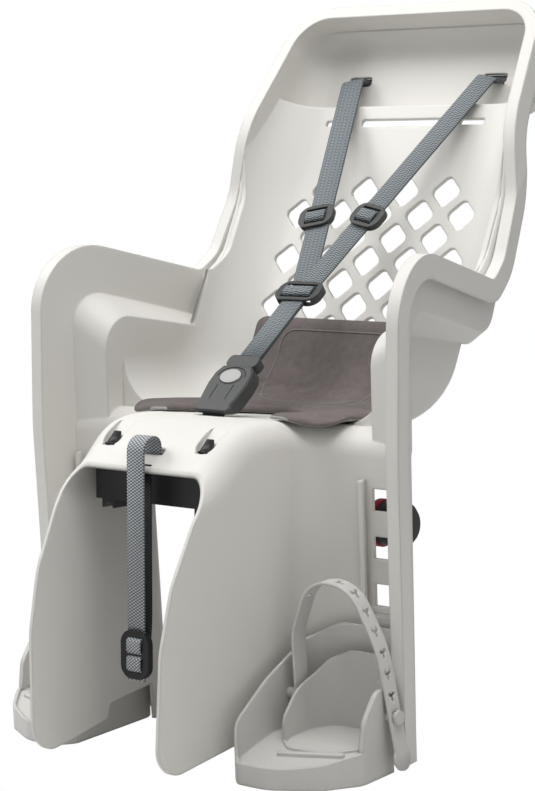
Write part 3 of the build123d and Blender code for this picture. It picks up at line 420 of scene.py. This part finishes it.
def thread(name, points, radius, material, body):
    """A thin round cord laid along points."""
    curve = bpy.data.curves.new(name, "CURVE")
    curve.dimensions = "3D"
    curve.bevel_depth = radius
    curve.bevel_resolution = 2
    spline = curve.splines.new("POLY")
    spline.points.add(len(points) - 1)
    for point, spot in zip(spline.points, points):
        point.co = (*spot, 1)
    piece = bpy.data.objects.new(name, curve)
    bpy.context.scene.collection.objects.link(piece)
    curve.materials.append(material)
    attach(piece, body)


def on_pad(x, distance):
    """Point on the pad's upper face, by its offset from the middle and its distance from the front edge."""
    sign = 1 if x > 0 else -1
    i, j = distance / pad_length * pad_rows, abs(x) / pad_half_width(distance, pad_length) * pad_columns
    a, b = min(int(i), pad_rows - 1), min(int(j), pad_columns - 1)
    corner = [pad_mesh.vertices[pad_order[a + m, sign, b + n, 1]].co for m in (0, 1) for n in (0, 1)]
    return corner[0].lerp(corner[1], j - b).lerp(corner[2].lerp(corner[3], j - b), i - a)


seam_grey = moulded_plastic("seam_grey", (0.20, 0.183, 0.178, 1), 0.85, grain=900.0, edge=0.0)
panel_low, panel_high, panel_half = 0.112, pad_length - 0.017, 0.064
high_corner, low_corner = 0.014, 0.052
stitch_count, thread_radius = 240, 0.0009
panel = [(0, panel_high, 0), (-panel_half, panel_high, 0), (-panel_half, panel_low, 0),
         (panel_half, panel_low, 0), (panel_half, panel_high, 0), (0, panel_high, 0)]
seam = rounded_path(panel, [high_corner, low_corner, low_corner, high_corner], step=0.002)
even = lengths_of(seam)
stitches = [spot_on(seam, even, even[-1] * i / stitch_count)[0] for i in range(stitch_count + 1)]
thread("pad_seam", [on_pad(p.x, p.y) for p in stitches], thread_radius, seam_grey, "seat")


# The harness is 25 mm twill webbing: two shoulder straps that come through slots in the headrest,
# a doubled strap from the chest slide to the buckle's tongue, and a short strap through the saddle.
def ribbon(name, path, wide, width, thickness, material, body, node=None, last_wide=None):
    """Webbing swept along a path, with soft edges and its cloth laid out in UVs. Its end may be twisted."""
    crown, twist_start, hair = 1.15, 0.8, 1e-5
    along = lengths_of(path)
    twist = along[-1] * twist_start
    edge, soft = width / 2, thickness / 2
    section = [(-edge, 0), (soft - edge, soft), (0, soft * crown), (edge - soft, soft), (edge, 0),
               (edge - soft, -soft), (0, -soft * crown), (soft - edge, -soft)]
    count = len(section)
    form = bmesh.new()
    cloth = form.loops.layers.uv.new("cloth")
    rings = []
    for spot, distance in zip(path, along):
        heading = spot_on(path, along, distance + hair)[1] + spot_on(path, along, max(distance - hair, 0))[1]
        level = wide.lerp(last_wide or wide, max(0, (distance - twist) / (along[-1] - twist)))
        across = (level - heading.normalized() * level.dot(heading.normalized())).normalized()
        up = across.cross(heading).normalized()
        rings.append([form.verts.new(spot + across * u + up * v) for u, v in section])
    for i in range(len(rings) - 1):
        for k in range(count):
            m = (k + 1) % count
            face = form.faces.new((rings[i][k], rings[i][m], rings[i + 1][m], rings[i + 1][k]))
            marks = [(k, i), (m, i), (m, i + 1), (k, i + 1)]
            for loop, (c, r) in zip(face.loops, marks):
                loop[cloth].uv = (section[c][0] / width + 0.5, along[r])
    form.faces.new(rings[0][::-1])
    form.faces.new(rings[-1])
    add_piece(name, closed_mesh(form, name), material, body, node)


def webbing(name, dark, light, columns, pitch, slant, stagger):
    """Woven tape: ribs in columns, slanted to and fro for a twill, or staggered for a plain weave."""
    material, wire = tree_of(name)
    flat = wire.put("TexCoord", out="UV")
    across = wire.put("SeparateXYZ", None, {0: flat}, out="X")
    along = wire.put("SeparateXYZ", None, {0: flat}, out="Y")
    column = across * columns
    lean = slant * wire.math("PINGPONG", column, 1.0) + stagger * wire.math("FLOOR", column)
    ribs = 0.5 + 0.5 * wire.math("SINE", (along * (1 / pitch) + lean) * (2 * pi))
    rows = 0.5 - 0.5 * wire.math("COSINE", across * (2 * pi * columns))
    place = wire.put("TexCoord", out="Object")
    fibres = wire.put("TexNoise", None, {"Vector": place, "Scale": 1500.0, "Detail": 3.0})
    border = wire.math("GREATER_THAN", wire.math("ABSOLUTE", across - 0.5), 0.45)
    pattern = (0.75 * ribs * ribs + 0.35 * rows * ribs + 0.35 * fibres - 0.1) * (1.0 - 0.55 * border)
    tone = mixed(wire, pattern, dark, light)
    relief = 0.6 * ribs + 0.4 * rows
    return close_tree(material, wire, tone, roughness=0.8, height=relief, strength=0.6, depth=0.0006)


twill = webbing("webbing", (0.035, 0.043, 0.048, 1), (0.31, 0.345, 0.365, 1), columns=6.0, pitch=0.0021,
                slant=0.6, stagger=0.0)
web_width, web_thick, layer_lift = 0.025, 0.0016, 0.0009
slot_rest, slot_depth, slot_reach = (0.079, 0.3133, 0.3762), 0.016, 0.012
panel_out = Vector((0, -0.906, 0.422))
chest = Vector((0.0, 0.111, 0.179))
chest_apart, chest_lead, chest_overlap = 0.004, 0.012, 0.001
slot_bend, chest_bend = 0.006, 0.012
tongue_mouth = Vector((0.0, 0.0293, 0.1181))
sideways = Vector((1, 0, 0))
down = (tongue_mouth - chest).normalized()
front = down.cross(sideways)
shoulder_lines = {}
for sign, side in sides:
    lip = Vector((sign * slot_rest[0], *slot_rest[1:]))
    meeting = chest + sideways * sign * chest_apart + front * sign * layer_lift
    mouth = lip + panel_out * slot_reach
    run = (meeting - mouth).normalized()
    wide = Vector((0, -1, 1)).cross(run).normalized()
    corners = [lip - panel_out * slot_depth, mouth, meeting - down * chest_lead, meeting]
    route = rounded_path(corners, [slot_bend, chest_bend], step=0.004)
    ribbon("shoulder_web_" + side, route, wide, web_width, web_thick, twill, "seat",
           "shoulder_strap_" + side, sideways)
    shoulder_lines[side] = (run, wide)

for lift, layer, node in ((layer_lift, "upper", "harness_strap"), (-layer_lift, "lower", None)):
    route = [spot + front * lift for spot in (chest + down * chest_overlap, tongue_mouth)]
    ribbon("harness_web_" + layer, route, sideways, web_width, web_thick, twill, "seat", node)

buckle_axis, buckle_middle = Vector((0, 0.739, 0.6737)), Vector((0, 0.016, 0.106))
crotch_inside, crotch_outside, crotch_drop, crotch_radius = 0.027, 0.046, 0.017, 0.004
crotch_top = buckle_middle - buckle_axis * crotch_inside
crotch_bend = buckle_middle - buckle_axis * crotch_outside
crotch_foot = crotch_bend - Vector((0, 0, crotch_drop))
crotch_route = rounded_path([crotch_top, crotch_bend, crotch_foot], [crotch_radius])
ribbon("crotch_web", crotch_route, sideways, web_width, web_thick, twill, "seat", "crotch_strap")


# The slides and the buckle are dark grey acetal. Webbing is threaded over each slide's middle bar.
# The buckle has a light grey release button, bare on top, which a thumb presses in.
def threaded_loop(name, node, offset, bar, along, wide, height, width, material):
    """A loop of webbing over a slide's bar, on the side that is seen."""
    loop_thick, loop_drop, loop_flare, loop_bend = 0.0014, 0.0024, 1.75, 0.0018
    low, high = (Vector(corner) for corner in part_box(node))
    centre = (low + high) / 2 + along * offset
    outwards = along.cross(wide)
    foot = height - loop_drop
    points = [(-loop_flare * bar, foot), (-bar, height), (bar, height), (loop_flare * bar, foot)]
    corners = [centre + along * a + outwards * h for a, h in points]
    route = rounded_path(corners, [loop_bend, loop_bend], step=0.0006)
    ribbon(name, route, wide, width, loop_thick, material, node)


dark_plastic = moulded_plastic("dark_plastic", (0.045, 0.048, 0.047, 1), 0.48, grain=900.0, edge=0.0012)
button_grey = moulded_plastic("button_grey", (0.38, 0.38, 0.375, 1), 0.4, grain=900.0, edge=0.0008)
dress(dark_plastic, "adjuster_left", "adjuster_right", "adjuster_chest", "buckle_housing", "buckle_tongue",
      "strap_anchors", "crotch_anchor")
dress(button_grey, "buckle_button")
slide_bar, slide_loop, slide_top = 0.0037, 0.0215, 0.0042
chest_loop, chest_top = 0.0335, 0.0051
for side, (run, wide) in shoulder_lines.items():
    threaded_loop("loop_" + side, "adjuster_" + side, 0, slide_bar, run, wide, slide_top, slide_loop, twill)
threaded_loop("loop_chest", "adjuster_chest", 0, slide_bar, down, sideways, chest_top, chest_loop, twill)


# The retention strap hangs from the saddle's front slot in two layers, to go round the bicycle's frame.
# It is a coarse plain weave, and has a black ladder lock near its lower end. Its rear layer wears a
# near-black copy of the weave, which is painted shade for the layer that hangs behind.
coarse = {"columns": 9.0, "pitch": 0.0027, "slant": 0.0, "stagger": 0.5}
plain_weave = webbing("retention_webbing", (0.04, 0.046, 0.051, 1), (0.62, 0.66, 0.69, 1), **coarse)
# A near-black copy of the weave for the rear layer: painted shade, since that layer hangs in the shadow of
# the front one.
shaded_reverse_weave = webbing("retention_reverse_shade", (0.008, 0.008, 0.009, 1), (0.05, 0.053, 0.056, 1), **coarse)
strap_width, layers_apart = 0.020, 0.009
slot_y, front_y = -0.096, -0.118
rear_y = front_y + layers_apart
slot_low, strap_top, strap_shoulder, strap_low = 0.042, 0.070, 0.064, -0.1405
rear_top, rear_bend, rear_short, rear_forward = 0.044, -0.09, 0.012, 0.004
slot_turn, hang_turn, rear_turn = 0.009, 0.0125, 0.2
front_corners = [(0, slot_y, slot_low), (0, slot_y, strap_top), (0, front_y, strap_shoulder),
                 (0, front_y, strap_low)]
rear_corners = [(0, rear_y - rear_forward, strap_low + rear_short), (0, rear_y, rear_bend),
                (0, rear_y, rear_top)]
front_route = rounded_path(front_corners, [slot_turn, hang_turn], step=0.0015)
rear_route = rounded_path(rear_corners, [rear_turn])
ribbon("retention_web", front_route, sideways, strap_width, web_thick, plain_weave, "seat",
       "retention_strap")
ribbon("retention_web_rear", rear_route, sideways, strap_width, web_thick, shaded_reverse_weave, "seat")
lock_black = moulded_plastic("lock_black", (0.009, 0.009, 0.0095, 1), 0.5, grain=900.0, edge=0.001)
dress(lock_black, "ladder_lock")
lock_bar, lock_loop, lock_top, lock_pitch = 0.0040, 0.0165, 0.0042, 0.0152
straight_down = Vector((0, 0, -1))
for level, offset in (("upper", -lock_pitch / 2), ("lower", lock_pitch / 2)):
    threaded_loop("lock_loop_" + level, "ladder_lock", offset, lock_bar, straight_down, sideways, lock_top,
                  lock_loop, plain_weave)


# Two lugs of the clamp plate, moulded with it in black plastic, stand in oval wells in the saddle's front.
# Only their ends show. Each is a small block with broken edges, cut off along the saddle's slope.
well_slope = 0.909
lug_middle, lug_reach = (0.052, -0.087, 0.0575), (0.0045, 0.0055)
lug_top, lug_depth, lug_edge = 0.0045, 0.012, 0.001
for sign, side in sides:
    form = bmesh.new()
    bmesh.ops.create_cube(form, size=2.0)
    for vert in form.verts:
        x, y, z = vert.co
        rise = lug_top + well_slope * lug_reach[1] * y if z > 0 else -lug_depth
        vert.co = (sign * lug_middle[0] + x * lug_reach[0], lug_middle[1] + y * lug_reach[1],
                   lug_middle[2] + rise)
    bmesh.ops.bevel(form, geom=form.edges[:], offset=lug_edge, segments=2, affect="EDGES")
    name = "lug_end_" + side
    add_piece(name, closed_mesh(form, name), clamp_black, "seat")


# The stage is a pale floor and an even white surround, lit by three large soft lamps from above.
# The camera stands in front of the seat's left side, far away, with a long lens.
scene = bpy.context.scene
floor_reach = 12.0
ground = cad_box[0][2]
floor_corners = [(x * floor_reach, y * floor_reach, ground) for x, y in ((-1, -1), (1, -1), (1, 1), (-1, 1))]
floor_mesh = bpy.data.meshes.new("floor")
floor_mesh.from_pydata(floor_corners, [], [(0, 1, 2, 3)])
floor = bpy.data.objects.new("floor", floor_mesh)
scene.collection.objects.link(floor)
pale, wire = tree_of("pale_floor")
seen = wire.put("LightPath", out="Is Camera Ray")
lit = wire.put("BsdfDiffuse", None, {"Color": (0.7, 0.7, 0.7, 1)})
glow = wire.put("Emission", None, {"Color": (1, 1, 1, 1), "Strength": 1.0})
wire.put("OutputMaterial", None, {"Surface": wire.put("MixShader", None, {0: seen, 1: lit, 2: glow})})
floor_mesh.materials.append(pale)

scene.view_settings.view_transform = "Standard"
world = bpy.data.worlds.new("studio")
world.use_nodes = True
world.node_tree.nodes.clear()
wire = Wire(world.node_tree)
dim = 0.22
strength = dim + (1 - dim) * wire.put("LightPath", out="Is Camera Ray")
surround = wire.put("Background", None, {"Color": (1, 1, 1, 1), "Strength": strength})
wire.put("OutputWorld", None, {"Surface": surround})
scene.world = world

lamps = {"top": ((0.2, -0.4, 2.7), 2.2, 63.0), "left": ((-2.1, -0.7, 1.9), 1.6, 46.0),
         "right": ((1.9, -0.6, 2.1), 1.6, 12.0)}
middle = Vector((0.0, 0.1, 0.12))
for name, (place, size, power) in lamps.items():
    lamp = bpy.data.lights.new(name, "AREA")
    lamp.size = size
    lamp.energy = power
    holder = bpy.data.objects.new(name, lamp)
    holder.location = place
    holder.rotation_euler = (middle - Vector(place)).to_track_quat("-Z", "Y").to_euler()
    scene.collection.objects.link(holder)

azimuth, elevation = radians(38.0), radians(5.568)
camera_place = Vector((1.2545, -1.5434, 0.2876))
away = Vector((sin(azimuth) * cos(elevation), -cos(azimuth) * cos(elevation), sin(elevation)))
right = Vector((cos(azimuth), sin(azimuth), 0.0))
turn = Matrix((right, away.cross(right), away)).transposed().to_4x4()
lens = bpy.data.cameras.new("camera")
lens.sensor_width = 36.0
lens.lens = 103.26
lens.clip_end = 50.0
camera = bpy.data.objects.new("camera", lens)
camera.matrix_world = Matrix.Translation(camera_place) @ turn
scene.collection.objects.link(camera)
scene.camera = camera
